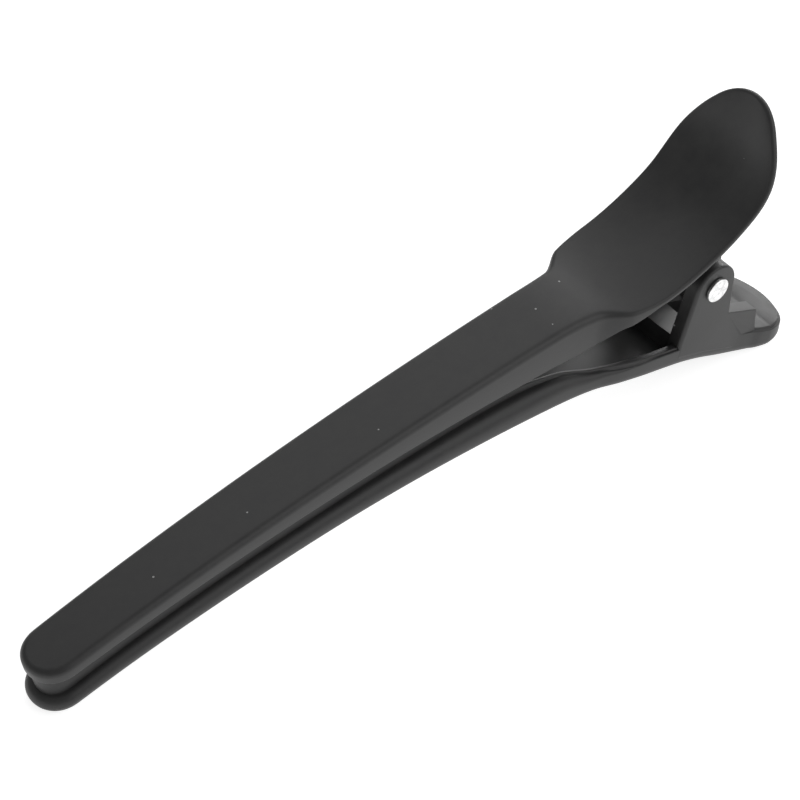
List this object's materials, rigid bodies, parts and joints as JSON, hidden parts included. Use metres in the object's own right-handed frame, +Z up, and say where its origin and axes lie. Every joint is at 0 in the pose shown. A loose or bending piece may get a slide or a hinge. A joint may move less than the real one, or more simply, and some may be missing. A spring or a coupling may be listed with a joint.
{
  "type": "sectioning clip",
  "caption": "Long slim hair clip: an arched jaw lever with a thumb pad pivots on a pin in the ears of a lower jaw and a torsion spring closes it.",
  "frame": {"origin": "on the surface that the closed clip lies on, under the middle of its bounding box", "axes": "+X along the clip from the jaw tips to the tail, +Y across it along the pin, +Z up, with the clip lying on its lower jaw"},
  "size_m": [0.12, 0.0166, 0.0394],
  "materials": {
    "black_plastic": "fine matte moulded",
    "pin_steel": "bright plated",
    "spring_steel": "drawn wire"
  },
  "bodies": {
    "lower": {"lower_jaw": "black_plastic", "pivot_pin": "pin_steel", "torsion_spring": "spring_steel"},
    "upper": {"upper_lever": "black_plastic"}
  },
  "joints": [
    {"name": "jaw_hinge", "type": "hinge", "parent": "lower", "child": "upper", "pos_m": [0.04282, 0, 0.01595], "axis": [0, 1, 0], "range_deg": [0, 40], "stiffness_Nm_per_rad": 0.12, "springref_deg": -34.38, "deforming": ["torsion_spring"]}
  ]
}
